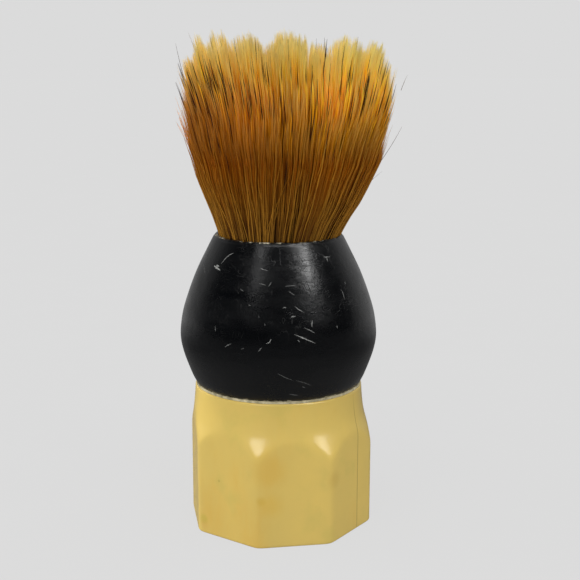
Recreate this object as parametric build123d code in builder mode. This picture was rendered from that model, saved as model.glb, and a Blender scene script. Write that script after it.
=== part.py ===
"""Shaving brush: octagonal foot, turned collar on a threaded stud, and a set hair knot.

Frame: millimetres, +Z up, origin at the centre of the foot's underside.
All turned pieces share the Z axis. Outlines are (radius, height).
"""

import math
import os

from build123d import *

os.makedirs("parts", exist_ok=True)

# ---------------------------------------------------------------- driving dimensions
OVERRUN = 1.0  # how far a cutting shape runs past the face it cuts

# Foot: a piece of cast octagonal rod with a turned, flared neck.
FOOT_CORNER_R = 19.8  # centre to the sharp corner of the octagon
FOOT_SIDES = 8
FOOT_CORNER_ROUND = 2.8  # the upright corners
OCTAGON_AT = (0.30, -0.23)  # the cast octagon sits slightly off the axis of the neck
FOOT_TOP = 29.7
FOOT_EDGE_ROUND = 0.7  # the underside's edge
SHOULDER_ROUND = 0.4  # the top edge
ARC_ROUND = 1.5  # where the neck runs into the flats
ARC_LOW, ARC_HIGH = 17.0, 25.0  # heights between which those arcs lie
# Neck, up to the shoulder: (radius, height). It starts wider than the octagon.
NECK = [
    (21.3, 14.4),
    (20.3, 17.0),
    (19.45, 19.4),
    (18.85, 21.2),
    (18.32, 22.9),
    (17.98, 24.6),
    (17.76, 26.4),
    (17.62, 28.0),
    (17.52, FOOT_TOP),
]

# Seam washer between foot and collar.
WASHER_T, WASHER_R, WASHER_HOLE_R = 0.5, 17.34, 7.2

# Collar: pear-shaped, widest low down, open at the mouth.
COLLAR_BOTTOM = FOOT_TOP + WASHER_T
COLLAR_TOP = 61.15
# Outside of the collar: (radius, height).
COLLAR = [
    (17.25, COLLAR_BOTTOM),
    (17.97, 31.5),
    (18.6, 33.0),
    (19.35, 35.0),
    (20.12, 37.5),
    (20.5, 40.0),
    (20.35, 42.5),
    (19.93, 45.0),
    (19.06, 48.0),
    (18.0, 51.0),
    (16.78, 54.0),
    (15.32, 57.0),
    (14.06, 59.5),
    (13.2, COLLAR_TOP),
]
SOCKET_R, SOCKET_FLOOR = 12.3, 45.0
BORE_TOP, BORE_R = 42.2, 4.6  # room for the stud's end above the insert
LIP_ROUND = 0.3
LIP_MIN_LENGTH = 60.0  # both rims of the mouth are longer than this

# Stud: a grooved shank below, a thread above.
STUD_BOTTOM, STUD_TOP = 15.7, 40.4
STUD_SHANK_R = 4.0
STUD_SHANK_TOP = FOOT_TOP - 0.3
THREAD_CORE_BOTTOM = FOOT_TOP + 0.4
STUD_CHAMFER = 0.5  # both ends
GROOVE_STARTS = (19.0, 23.4)  # lower edge of each groove round the shank
GROOVE_DEPTH, GROOVE_FLOOR_WIDTH = 0.45, 1.0
GROOVE_SLOPE = 0.4  # height of each sloping side

# Thread: coarse, right-hand.
PITCH = 2.0
THREAD_MAJOR, THREAD_MINOR = 4.0, 3.1  # radii
THREAD_LOW, THREAD_HIGH = COLLAR_BOTTOM + 1.1, STUD_TOP - 1.4
THREAD_SINK = 0.12  # how deep the ridge's root is buried in the core
HALF_ROOT, HALF_CREST = 0.62, 0.16  # half the ridge's width at root and crest
THREAD_GAP = 0.09  # running clearance of the thread, on each face

# Stud's socket in the foot.
SHANK_GAP, SHANK_END_GAP = 0.05, 0.3  # round the shank and below it
SHANK_FLARE = 0.7  # width and height of the flare at the mouth

# Insert the stud screws into.
INSERT_R, INSERT_BOTTOM, INSERT_TOP = 6.4, 30.9, 40.9
INSERT_CHAMFER = 0.3  # bottom edge
TAP_RIDGE_OVERRUN = 1.1  # thread of the tap above the insert

# Knot, from the outside in: cement, ferrule, hard-rubber plug, cord, hair, peg.
CEMENT_T, CEMENT_TOP = 0.15, 54.0
FERRULE_T, FERRULE_TOP, FERRULE_HOLE_R = 0.3, 53.4, 9.0
FERRULE_R = SOCKET_R - CEMENT_T
FERRULE_FOOT = SOCKET_FLOOR + CEMENT_T
PLUG_R = FERRULE_R - FERRULE_T
PLUG_BOTTOM = FERRULE_FOOT + FERRULE_T
PLUG_FLOOR, PLUG_TOP = 47.4, 55.6  # floor of its cup, and its rim
PLUG_RIM_FALL = 0.7  # how far the rim slopes down outwards
HAIR_SET_R = 11.0  # hair where the plug grips it
CORD_R, CORD_TURNS, CORD_Z = 0.42, 3, 50.1
CORD_SPACING = 1.8 * CORD_R
CORD_MID_R = HAIR_SET_R + 0.35 * CORD_R  # just biting into the hair
PEG_BOTTOM_R, PEG_TOP_R, PEG_TOP = 2.2, 3.4, 59.5
PEG_CHAMFER = 1.2

# Free hair. It bends side to side about SIDE_Z, fore and aft about FORE_Z, and its
# eight outer bundles splay about (SPLAY_R, SPLAY_Z). At a pivot the face below falls
# away outwards and the face above rises, by these angles in degrees.
SIDE_Z, FORE_Z = 64.0, 71.0
BEND_FALL, BEND_RISE = 8.0, 12.0
SPLAY_R, SPLAY_Z = 14.0, 78.0
SPLAY_FALL, SPLAY_RISE = 12.0, 10.0
SLIT = 0.03  # gap at a pivot
BUNDLES = 8
BUNDLE_GAP = 0.10  # half the gap between neighbours
CORE_FOOT_R, CORE_TOP_R = 7.0, 9.0
# Outline of the loose hair: (radius, height).
HAIR = [
    (12.95, 62.1),
    (14.1, 64.3),
    (15.65, 67.2),
    (17.15, 70.5),
    (18.5, 73.8),
    (19.6, 77.0),
    (20.3, 80.6),
    (20.8, 85.1),
    (20.85, 89.9),
    (20.5, 94.2),
    (19.2, 97.4),
    (16.4, 99.0),
    (10.0, 99.7),
    (0.0, 99.9),
]
RIM_R, RIM_Z = HAIR[0]
# Set hair between the plug and the rim of the loose hair: (radius, height).
SET_HAIR_FLARE = [
    (HAIR_SET_R + 0.75, 59.6),
    (HAIR_SET_R + 1.05, COLLAR_TOP + 0.1),
    (RIM_R, RIM_Z - 0.15),
]
# Cutting radii beyond the hair at the height of each part.
ROOT_CUT_R, CORE_CUT_R, BUNDLE_CUT_R = 19.0, 22.0, 30.0
HAIR_CUT_TOP = HAIR[-1][1] + OVERRUN
WEDGE_BELOW, WEDGE_HEIGHT = 5.0, 40.0  # start below SPLAY_Z, and full height


# ---------------------------------------------------------------- helpers
def save(part, name):
    """Labels a finished piece and writes it as its own STEP file."""
    part.label = name
    export_step(part, f"parts/{name}.step")


def turned(*outline):
    """A solid of revolution about Z from a closed outline of (radius, height)."""
    with BuildPart(mode=Mode.PRIVATE) as piece:
        with BuildSketch(Plane.XZ):
            with BuildLine():
                Polyline(*outline, close=True)
            make_face()
        revolve(axis=Axis.Z)
    return piece.part


def helix_ridge(z_low, z_high, gap):
    """The stud's thread ridge between two heights, grown by a gap on crest and flanks."""
    root = THREAD_MINOR - THREAD_SINK
    depth = THREAD_MAJOR + gap - root
    half_root, half_crest = HALF_ROOT + gap, HALF_CREST + gap
    with BuildPart(mode=Mode.PRIVATE) as ridge:
        with BuildLine() as path:
            Helix(
                pitch=PITCH,
                height=z_high - z_low,
                radius=root,
                center=(0, 0, z_low),
            )
        with BuildSketch(Plane(origin=(root, 0, z_low), x_dir=(1, 0, 0), z_dir=(0, -1, 0))):
            with BuildLine():
                Polyline(
                    (0, -half_root),
                    (depth, -half_crest),
                    (depth, half_crest),
                    (0, half_root),
                    close=True,
                )
            make_face()
        sweep(path=path.line, is_frenet=True)
    return ridge.part


def drop(radius, degrees):
    """How far a face falls over a radius at an angle."""
    return radius * math.tan(math.radians(degrees))


def groove(start):
    """Outline points of one groove round the stud's shank, from its lower edge up."""
    floor_r = STUD_SHANK_R - GROOVE_DEPTH
    floor_low = start + GROOVE_SLOPE
    floor_high = floor_low + GROOVE_FLOOR_WIDTH
    return [
        (STUD_SHANK_R, start),
        (floor_r, floor_low),
        (floor_r, floor_high),
        (STUD_SHANK_R, floor_high + GROOVE_SLOPE),
    ]


# ---------------------------------------------------------------- stud
# Brass stud: a grooved shank set in the foot, a threaded end for the collar.
with BuildPart() as stud:
    add(
        turned(
            (0, STUD_BOTTOM),
            (STUD_SHANK_R - STUD_CHAMFER, STUD_BOTTOM),
            (STUD_SHANK_R, STUD_BOTTOM + STUD_CHAMFER),
            *(point for start in GROOVE_STARTS for point in groove(start)),
            (STUD_SHANK_R, STUD_SHANK_TOP),
            (THREAD_MINOR, THREAD_CORE_BOTTOM),
            (THREAD_MINOR, STUD_TOP - STUD_CHAMFER),
            (THREAD_MINOR - STUD_CHAMFER, STUD_TOP),
            (0, STUD_TOP),
        )
    )
    add(helix_ridge(THREAD_LOW, THREAD_HIGH, 0.0))
save(stud.part, "stud")

# ---------------------------------------------------------------- foot
with BuildPart() as foot:
    with BuildSketch(Plane.XY) as octagon:
        with Locations(OCTAGON_AT):
            # Turned by half a side, so that flats face along X and Y.
            RegularPolygon(
                radius=FOOT_CORNER_R, side_count=FOOT_SIDES, rotation=180 / FOOT_SIDES
            )
        fillet(octagon.vertices(), radius=FOOT_CORNER_ROUND)
    extrude(amount=FOOT_TOP)
    fillet(foot.faces().sort_by(Axis.Z)[0].edges(), radius=FOOT_EDGE_ROUND)
    # Turn the neck: keep only what lies inside its outline.
    with BuildSketch(Plane.XZ):
        with BuildLine():
            Spline(*NECK)
            Polyline(
                NECK[-1], (0, FOOT_TOP), (0, -OVERRUN), (NECK[0][0], -OVERRUN), NECK[0]
            )
        make_face()
    revolve(axis=Axis.Z, mode=Mode.INTERSECT)
    # The arcs where neck and octagon meet, leaving out upright edges.
    arcs = foot.edges().filter_by(
        lambda e: ARC_LOW < e.center().Z < ARC_HIGH and abs(e.tangent_at(0.5).Z) < 0.8
    )
    fillet(arcs, radius=ARC_ROUND)
    fillet(foot.faces().sort_by(Axis.Z)[-1].edges(), radius=SHOULDER_ROUND)
    # Socket for the stud's shank, flared at its mouth.
    shank_hole_r = STUD_SHANK_R + SHANK_GAP
    add(
        turned(
            (0, STUD_BOTTOM - SHANK_END_GAP),
            (shank_hole_r, STUD_BOTTOM - SHANK_END_GAP),
            (shank_hole_r, FOOT_TOP - SHANK_FLARE),
            (shank_hole_r + SHANK_FLARE, FOOT_TOP),
            (shank_hole_r + SHANK_FLARE, FOOT_TOP + OVERRUN),
            (0, FOOT_TOP + OVERRUN),
        ),
        mode=Mode.SUBTRACT,
    )
save(foot.part, "foot")

# ---------------------------------------------------------------- seam washer
with BuildPart() as seam_washer:
    with BuildSketch(Plane.XY.offset(FOOT_TOP)):
        Circle(WASHER_R)
        Circle(WASHER_HOLE_R, mode=Mode.SUBTRACT)
    extrude(amount=WASHER_T)
save(seam_washer.part, "seam_washer")

# ---------------------------------------------------------------- collar
with BuildPart() as collar:
    with BuildSketch(Plane.XZ):
        with BuildLine():
            Spline(*COLLAR)
            # Down the knot's socket, across its floor, and down the insert's hole.
            Polyline(
                COLLAR[-1],
                (SOCKET_R, COLLAR_TOP),
                (SOCKET_R, SOCKET_FLOOR),
                (0, SOCKET_FLOOR),
                (0, BORE_TOP),
                (BORE_R, BORE_TOP),
                (BORE_R, INSERT_TOP),
                (INSERT_R, INSERT_TOP),
                (INSERT_R, COLLAR_BOTTOM),
                COLLAR[0],
            )
        make_face()
    revolve(axis=Axis.Z)
    lip = collar.edges().filter_by(
        lambda e: abs(e.center().Z - COLLAR_TOP) < 1e-3 and e.length > LIP_MIN_LENGTH
    )
    fillet(lip, radius=LIP_ROUND)
save(collar.part, "collar")

# ---------------------------------------------------------------- insert
# Threaded brass insert set in the collar's floor. The tap's ridge starts a whole
# pitch below the stud's, so the two threads line up.
with BuildPart() as tap:
    with BuildSketch(Plane.XY.offset(INSERT_BOTTOM - OVERRUN)):
        Circle(THREAD_MINOR + THREAD_GAP)
    extrude(amount=INSERT_TOP - INSERT_BOTTOM + 2 * OVERRUN)
    add(helix_ridge(THREAD_LOW - PITCH, INSERT_TOP + TAP_RIDGE_OVERRUN, THREAD_GAP))
with BuildPart() as insert:
    add(
        turned(
            (0, INSERT_BOTTOM),
            (INSERT_R - INSERT_CHAMFER, INSERT_BOTTOM),
            (INSERT_R, INSERT_BOTTOM + INSERT_CHAMFER),
            (INSERT_R, INSERT_TOP),
            (0, INSERT_TOP),
        )
    )
    add(tap.part, mode=Mode.SUBTRACT)
save(insert.part, "insert")

# ---------------------------------------------------------------- cement
# Lines the socket, and steps in over the ferrule's top edge.
cement = turned(
    (0, SOCKET_FLOOR),
    (SOCKET_R, SOCKET_FLOOR),
    (SOCKET_R, CEMENT_TOP),
    (PLUG_R, CEMENT_TOP),
    (PLUG_R, FERRULE_TOP),
    (FERRULE_R, FERRULE_TOP),
    (FERRULE_R, FERRULE_FOOT),
    (0, FERRULE_FOOT),
)
save(cement, "cement")

# ---------------------------------------------------------------- ferrule
# A thin cup with a hole in its floor.
ferrule = turned(
    (FERRULE_HOLE_R, FERRULE_FOOT),
    (FERRULE_R, FERRULE_FOOT),
    (FERRULE_R, FERRULE_TOP),
    (PLUG_R, FERRULE_TOP),
    (PLUG_R, PLUG_BOTTOM),
    (FERRULE_HOLE_R, PLUG_BOTTOM),
)
save(ferrule, "ferrule")

# ---------------------------------------------------------------- cord
# Turns of waxed cord round the butts, overlapping slightly.
with BuildPart() as cord:
    for turn in range(CORD_TURNS):
        z = CORD_Z + (turn - (CORD_TURNS - 1) / 2) * CORD_SPACING
        with BuildSketch(Plane.XZ):
            with Locations((CORD_MID_R, z)):
                Circle(CORD_R)
        revolve(axis=Axis.Z)
save(cord.part, "cord")

# ---------------------------------------------------------------- peg
# Tapered wooden peg driven into the middle of the knot to open it out.
peg = turned(
    (0, PLUG_FLOOR),
    (PEG_BOTTOM_R, PLUG_FLOOR),
    (PEG_TOP_R, PEG_TOP - PEG_CHAMFER),
    (PEG_TOP_R - PEG_CHAMFER, PEG_TOP),
    (0, PEG_TOP),
)
save(peg, "peg")

# ---------------------------------------------------------------- plug
with BuildPart() as plug:
    add(
        turned(
            (0, PLUG_BOTTOM),
            (PLUG_R, PLUG_BOTTOM),
            (PLUG_R, PLUG_TOP - PLUG_RIM_FALL),
            (HAIR_SET_R, PLUG_TOP),
            (HAIR_SET_R, PLUG_FLOOR),
            (0, PLUG_FLOOR),
        )
    )
    add(cord.part, mode=Mode.SUBTRACT)
save(plug.part, "plug")

# ---------------------------------------------------------------- set hair
# The hair that doesn't move, from its butts to just above the mouth.
with BuildPart() as hair_set:
    add(
        turned(
            (0, PLUG_FLOOR),
            (HAIR_SET_R, PLUG_FLOOR),
            (HAIR_SET_R, PLUG_TOP),
            *SET_HAIR_FLARE,
            (RIM_R, SIDE_Z - drop(RIM_R, BEND_FALL)),
            (0, SIDE_Z),
        )
    )
    add(cord.part, mode=Mode.SUBTRACT)
    add(peg, mode=Mode.SUBTRACT)
save(hair_set.part, "hair_set")

# ---------------------------------------------------------------- loose hair
# The whole loose tuft in outline, cut into its moving parts below.
with BuildPart() as tuft:
    with BuildSketch(Plane.XZ):
        with BuildLine():
            Spline(*HAIR)
            Polyline(HAIR[-1], (0, RIM_Z), HAIR[0])
        make_face()
    revolve(axis=Axis.Z)

# Root: between the two bending pivots.
with BuildPart() as hair_root:
    add(tuft.part)
    add(
        turned(
            (0, SIDE_Z + SLIT),
            (ROOT_CUT_R, SIDE_Z + SLIT + drop(ROOT_CUT_R, BEND_RISE)),
            (ROOT_CUT_R, FORE_Z - drop(ROOT_CUT_R, BEND_FALL)),
            (0, FORE_Z),
        ),
        mode=Mode.INTERSECT,
    )
save(hair_root.part, "hair_root")

# Core: a seat for the bundles, and the column they stand round.
with BuildPart() as hair_core:
    add(tuft.part)
    add(
        turned(
            (0, FORE_Z + SLIT),
            (CORE_CUT_R, FORE_Z + SLIT + drop(CORE_CUT_R, BEND_RISE)),
            (CORE_CUT_R, SPLAY_Z - drop(CORE_CUT_R - SPLAY_R, SPLAY_FALL)),
            (SPLAY_R, SPLAY_Z),
            (CORE_FOOT_R, SPLAY_Z),
            (CORE_TOP_R, HAIR_CUT_TOP),
            (0, HAIR_CUT_TOP),
        ),
        mode=Mode.INTERSECT,
    )
save(hair_core.part, "hair_core")

# One bundle is a sector of the outer hair. The other seven are the same, turned.
half_sector = math.pi / BUNDLES
wedge_tip = BUNDLE_GAP / math.sin(half_sector)
wedge_end = wedge_tip + BUNDLE_CUT_R
wedge_half_width = math.tan(half_sector) * BUNDLE_CUT_R
bundle_foot = SPLAY_Z + SLIT
with BuildPart() as bundle:
    add(tuft.part)
    add(
        turned(
            (CORE_FOOT_R + SLIT, bundle_foot),
            (SPLAY_R, bundle_foot),
            (BUNDLE_CUT_R, bundle_foot + drop(BUNDLE_CUT_R - SPLAY_R, SPLAY_RISE)),
            (BUNDLE_CUT_R, HAIR_CUT_TOP),
            (CORE_TOP_R + SLIT, HAIR_CUT_TOP),
        ),
        mode=Mode.INTERSECT,
    )
    with BuildSketch(Plane.XY.offset(SPLAY_Z - WEDGE_BELOW)):
        with BuildLine():
            Polyline(
                (wedge_tip, 0),
                (wedge_end, wedge_half_width),
                (wedge_end, -wedge_half_width),
                close=True,
            )
        make_face()
    extrude(amount=WEDGE_HEIGHT, mode=Mode.INTERSECT)
for index in range(BUNDLES):
    turned_bundle = bundle.part.rotate(Axis.Z, 360 / BUNDLES * index)
    save(turned_bundle, f"hair_bundle_{index + 1}")
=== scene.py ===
"""Looks for a shaving brush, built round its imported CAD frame.

The brush stands upright on z = 0 with its axis on Z: an octagonal cream foot, a round black
collar and a tuft of hair. Script metres, +Z up; the shapes are worked out in mm. The camera
stands on the -Y side, turned a little towards -X. Left, right, front and back are as it sees.
"""

import copy
import math

import bpy
import numpy as np
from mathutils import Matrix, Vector


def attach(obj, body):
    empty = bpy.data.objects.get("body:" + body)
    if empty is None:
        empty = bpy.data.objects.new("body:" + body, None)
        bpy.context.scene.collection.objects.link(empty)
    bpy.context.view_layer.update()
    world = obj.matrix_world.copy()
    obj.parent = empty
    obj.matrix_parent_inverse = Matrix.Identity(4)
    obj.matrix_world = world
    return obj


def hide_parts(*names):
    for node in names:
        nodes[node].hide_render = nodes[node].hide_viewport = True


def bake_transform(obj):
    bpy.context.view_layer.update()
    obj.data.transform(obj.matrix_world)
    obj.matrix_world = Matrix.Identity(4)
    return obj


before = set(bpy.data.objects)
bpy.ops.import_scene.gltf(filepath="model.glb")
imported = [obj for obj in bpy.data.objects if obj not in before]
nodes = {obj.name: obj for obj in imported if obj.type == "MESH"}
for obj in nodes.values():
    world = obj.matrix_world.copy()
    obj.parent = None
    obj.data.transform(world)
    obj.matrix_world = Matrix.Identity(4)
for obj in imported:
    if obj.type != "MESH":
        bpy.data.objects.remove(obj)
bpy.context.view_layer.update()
MM = 0.001
rng = np.random.default_rng(20843)
scene = bpy.context.scene

# ---------------------------------------------------------------- point of view (mm)
VIEW_AZ = math.radians(-9.12)
CAM_DIST, CAM_HEIGHT, CAM_PITCH = 224.8, 94.8, math.radians(11.46)
TO_CAM = np.array([math.sin(VIEW_AZ), -math.cos(VIEW_AZ), 0.0])
RIGHT = np.array([math.cos(VIEW_AZ), math.sin(VIEW_AZ), 0.0])
EYE = TO_CAM * CAM_DIST + np.array([0, 0, CAM_HEIGHT])

# Marks, spots and loose hairs are placed on the sheet: the upright plane through the axis that
# faces the camera, as (across to the right, up). Sight lines from the eye carry them off it.


def sight(across, up):
    """Vector from the eye to a point of the sheet."""
    return RIGHT * across + np.array([0, 0, up]) - EYE


def at_depth(across, up, depth):
    """The point on a sheet point's sight line that lies a depth behind the sheet."""
    return EYE + sight(across, up) * (CAM_DIST + depth) / CAM_DIST


def sight_hit(across, up, near, far, samples, inside):
    """First sample of a sight line, near to far from the eye, where inside(r, angle, z) holds."""
    steps = np.linspace(near / CAM_DIST, far / CAM_DIST, samples)
    points = EYE + steps[:, None] * sight(across, up)
    x, y, z = points.T
    return points[np.argmax(inside(np.hypot(x, y), np.arctan2(y, x), z))]


# ---------------------------------------------------------------- curves and meshes
def spline(stations):
    """Natural cubic through (x, y) stations; straight below the first, level above the last."""
    knots, values = np.array(stations, float).T
    count = len(knots)
    gap = np.diff(knots)
    slope = np.diff(values) / gap
    system = np.zeros((count, count))
    change = np.zeros(count)
    system[0, 0] = system[-1, -1] = 1
    for i in range(1, count - 1):
        system[i, i - 1 : i + 2] = gap[i - 1], 2 * (gap[i - 1] + gap[i]), gap[i]
        change[i] = 6 * (slope[i] - slope[i - 1])
    bend = np.linalg.solve(system, change)

    def curve(x):
        i = np.clip(np.searchsorted(knots, x) - 1, 0, count - 2)
        held = np.clip(x, knots[0], knots[-1])
        ahead, behind = knots[i + 1] - held, held - knots[i]
        y = (bend[i] * ahead**3 + bend[i + 1] * behind**3) / (6 * gap[i])
        y = y + (values[i] / gap[i] - bend[i] * gap[i] / 6) * ahead
        y = y + (values[i + 1] / gap[i] - bend[i + 1] * gap[i] / 6) * behind
        return y + np.minimum(x - knots[0], 0) * slope[0]

    return curve


def bell(value, centre, width):
    return np.exp(-(((value - centre) / width) ** 2))


def smoothstep(value, start, end):
    t = np.clip((value - start) / (end - start), 0, 1)
    return t * t * (3 - 2 * t)


def new_mesh(name, verts, faces):
    """A smooth mesh from points in mm and faces that all have the same number of corners."""
    mesh = bpy.data.meshes.new(name)
    verts = np.asarray(verts, np.float32) * MM
    faces = np.asarray(faces, np.int32)
    count, corners = faces.shape
    mesh.vertices.add(len(verts))
    mesh.vertices.foreach_set("co", verts.ravel())
    mesh.loops.add(count * corners)
    mesh.loops.foreach_set("vertex_index", faces.ravel())
    mesh.polygons.add(count)
    starts = np.arange(0, count * corners, corners, dtype=np.int32)
    mesh.polygons.foreach_set("loop_start", starts)
    mesh.polygons.foreach_set("use_smooth", np.ones(count, bool))
    mesh.update(calc_edges=True)
    mesh.validate()
    obj = bpy.data.objects.new(name, mesh)
    scene.collection.objects.link(obj)
    return obj


def ring(angles, radius, height):
    """Points round the axis; radius and height may vary with the angle or from ring to ring."""
    parts = np.broadcast_arrays(radius * np.cos(angles), radius * np.sin(angles), height)
    return np.stack(parts, -1)


def ring_mesh(name, rings):
    """A closed surface from points of shape (rings, around, 3), with a pole at each end."""
    count, around = rings.shape[:2]
    row = np.arange(count - 1)[:, None] * around
    j = np.arange(around)[None, :]
    here, after = row + j, row + (j + 1) % around
    quads = np.stack([here, after, after + around, here + around], -1).reshape(-1, 4)
    first_pole, last_row = count * around, (count - 1) * around
    tris = [[first_pole, (i + 1) % around, i] for i in range(around)]
    tris += [
        [first_pole + 1, last_row + i, last_row + (i + 1) % around] for i in range(around)
    ]
    verts = np.concatenate([rings.reshape(-1, 3), rings[[0, -1]].mean(1)])
    mesh = bpy.data.meshes.new(name)
    mesh.from_pydata((verts * MM).tolist(), [], quads.tolist() + tris)
    mesh.polygons.foreach_set("use_smooth", np.ones(len(mesh.polygons), bool))
    mesh.update()
    obj = bpy.data.objects.new(name, mesh)
    scene.collection.objects.link(obj)
    return obj


# ---------------------------------------------------------------- node helpers
NOISE_SPAN = (0.3, 0.7)  # the values that most of a noise texture falls between


def srgb(*rgb):
    """Linear colour from 0-255 sRGB numbers."""
    out = []
    for c in rgb:
        c /= 255
        out.append(c / 12.92 if c <= 0.04045 else ((c + 0.055) / 1.055) ** 2.4)
    return (*out, 1.0)


class Nodes:
    """A node tree, with short calls for the nodes used here."""

    def __init__(self, tree):
        self.tree = tree

    def node(self, kind, **props):
        made = self.tree.nodes.new(kind)
        for key, value in props.items():
            setattr(made, key, value)
        return made

    def put(self, socket, value):
        if isinstance(value, bpy.types.NodeSocket):
            self.tree.links.new(value, socket)
        else:
            socket.default_value = value

    def math(self, op, a, b=0.0):
        made = self.node("ShaderNodeMath", operation=op)
        self.put(made.inputs[0], a)
        self.put(made.inputs[1], b)
        return made.outputs[0]

    def add(self, a, b):
        return self.math("ADD", a, b)

    def times(self, a, b):
        return self.math("MULTIPLY", a, b)

    def measure(self, op, a, b=None):
        """A number from vectors: LENGTH, DISTANCE or DOT_PRODUCT."""
        made = self.node("ShaderNodeVectorMath", operation=op)
        self.put(made.inputs[0], a)
        if b is not None:
            made.inputs[1].default_value = tuple(float(c) for c in b)
        return made.outputs["Value"]

    def remap(self, value, span=NOISE_SPAN, to=(0.0, 1.0), smooth=False):
        made = self.node("ShaderNodeMapRange")
        if smooth:
            made.interpolation_type = "SMOOTHSTEP"
        self.put(made.inputs["Value"], value)
        for key, number in zip(("From Min", "From Max", "To Min", "To Max"), (*span, *to)):
            made.inputs[key].default_value = number
        return made.outputs["Result"]

    def by_ray(self, seen, shiny, other):
        """A number that depends on whether the camera, a reflection or other light asks."""
        path = self.node("ShaderNodeLightPath")

        def choose(flag, yes, no):
            made = self.node("ShaderNodeMix", data_type="FLOAT")
            self.put(made.inputs[0], path.outputs[flag])
            self.put(made.inputs[2], no)
            self.put(made.inputs[3], yes)
            return made.outputs[0]

        return choose("Is Camera Ray", seen, choose("Is Glossy Ray", shiny, other))


class Paint(Nodes):
    """A new material round one Principled BSDF."""

    def __init__(self, name):
        self.material = bpy.data.materials.new(name)
        self.material.use_nodes = True
        super().__init__(self.material.node_tree)
        self.bsdf = self.tree.nodes["Principled BSDF"]

    def set(self, **inputs):
        for key, value in inputs.items():
            self.put(self.bsdf.inputs[key.replace("_", " ")], value)

    def coords(self):
        return self.node("ShaderNodeTexCoord").outputs["Object"]

    def scaled(self, vector, scale, offset=(0, 0, 0)):
        made = self.node("ShaderNodeMapping")
        self.put(made.inputs["Vector"], vector)
        made.inputs["Scale"].default_value = scale
        made.inputs["Location"].default_value = offset
        return made.outputs["Vector"]

    def noise(self, vector, scale, detail=3.0, rough=0.55):
        made = self.node("ShaderNodeTexNoise")
        self.put(made.inputs["Vector"], vector)
        made.inputs["Scale"].default_value = scale
        made.inputs["Detail"].default_value = detail
        made.inputs["Roughness"].default_value = rough
        return made.outputs["Fac"]

    def ramp(self, fac, stops):
        made = self.node("ShaderNodeValToRGB")
        self.put(made.inputs["Fac"], fac)
        elements = made.color_ramp.elements
        while len(elements) < len(stops):
            elements.new(0.5)
        for element, (position, color) in zip(elements, stops):
            element.position = position
            element.color = color
        return made.outputs["Color"]

    def mix(self, fac, a, b, blend="MIX"):
        made = self.node("ShaderNodeMix", data_type="RGBA", blend_type=blend)
        self.put(made.inputs[0], fac)
        self.put(made.inputs[6], a)
        self.put(made.inputs[7], b)
        return made.outputs[2]

    def tint(self, a, b):
        return self.mix(1.0, a, b, "MULTIPLY")

    def attribute(self, name):
        return self.node("ShaderNodeAttribute", attribute_name=name).outputs["Fac"]

    def axes(self, vector):
        made = self.node("ShaderNodeSeparateXYZ")
        self.put(made.inputs[0], vector)
        return made.outputs

    def bump(self, height, strength, distance, normal=None):
        made = self.node("ShaderNodeBump")
        made.inputs["Strength"].default_value = strength
        made.inputs["Distance"].default_value = distance
        self.put(made.inputs["Height"], height)
        if normal is not None:
            self.put(made.inputs["Normal"], normal)
        return made.outputs["Normal"]


def coat(obj, paint):
    obj.data.materials.clear()
    obj.data.materials.append(paint.material)


# ---------------------------------------------------------------- foot (mm)
FLAT_R = 19.8 * math.cos(math.radians(22.5))  # axis to flat, from the corner radius
OCTAGON_AT = (0.30, -0.23)  # middle of the octagon in plan
CORNER_POWER = 60  # the higher, the sharper the octagon's corners
NECK_BLEND = 0.15  # softness of the join between octagon and neck
FOOT_TOP = 29.7
FOOT_EDGE = 0.4  # rounding of the bottom and top edges
# height, radius
neck = spline([
    (14.4, 21.3), (17.0, 20.3), (19.4, 19.45), (21.2, 18.85), (22.9, 18.32),
    (24.6, 17.98), (26.4, 17.76), (28.0, 17.62), (FOOT_TOP, 17.52),
])


def foot_radius(angle, z):
    """Radius of the foot: an octagon with eased corners, softly blended into its neck."""
    facing = np.arange(8) * math.pi / 4
    flat = FLAT_R + np.cos(facing) * OCTAGON_AT[0] + np.sin(facing) * OCTAGON_AT[1]
    reach = np.maximum(np.cos(angle[..., None] - facing), 0) / flat
    octagon = (reach**CORNER_POWER).sum(-1) ** (-1 / CORNER_POWER)
    both = np.exp(-octagon / NECK_BLEND) + np.exp(-neck(z) / NECK_BLEND)
    return -NECK_BLEND * np.log(both)


def build_foot():
    angles = np.arange(384) * 2 * math.pi / 384
    quarter = np.linspace(0, math.pi / 2, 6)
    heights = np.concatenate([
        FOOT_EDGE * (1 - np.cos(quarter)),
        np.linspace(0.8, 15, 16),
        np.linspace(15.5, 27.5, 42),
        np.linspace(28, FOOT_TOP - FOOT_EDGE, 5),
        FOOT_TOP - FOOT_EDGE + FOOT_EDGE * np.sin(quarter[1:]),
    ])[:, None]
    radius = foot_radius(angles, heights)
    for into_edge in (FOOT_EDGE - heights, heights - (FOOT_TOP - FOOT_EDGE)):
        into_edge = np.clip(into_edge, 0, FOOT_EDGE)
        radius -= FOOT_EDGE - np.sqrt(np.maximum(FOOT_EDGE**2 - into_edge**2, 0))
    side = ring(angles, radius, heights)
    base = [side[0] * [share, share, 1] for share in (0.3, 0.7, 0.95)]
    # the level top, then a hole down the axis: radius, height
    top = [
        ring(angles, r, z)
        for r, z in (
            (16.0, FOOT_TOP), (9.0, FOOT_TOP), (4.75, FOOT_TOP),
            (4.1, FOOT_TOP - 0.65), (4.08, 26.0),
        )
    ]
    return ring_mesh("foot_skin", np.concatenate([base, side, top]))


def foot_point(across, up):
    """Where a sheet point's sight line meets the foot, in metres."""

    def inside(r, angle, z):
        return r < foot_radius(angle, z)

    return sight_hit(across, up, near=150.0, far=224.0, samples=4000, inside=inside) * MM


# ---------------------------------------------------------------- collar (mm)
COLLAR_BASE, COLLAR_TOP = 30.2, 61.15
LIP_R, LIP_ROUND = 13.2, 0.3
BORE_R = 12.3
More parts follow.
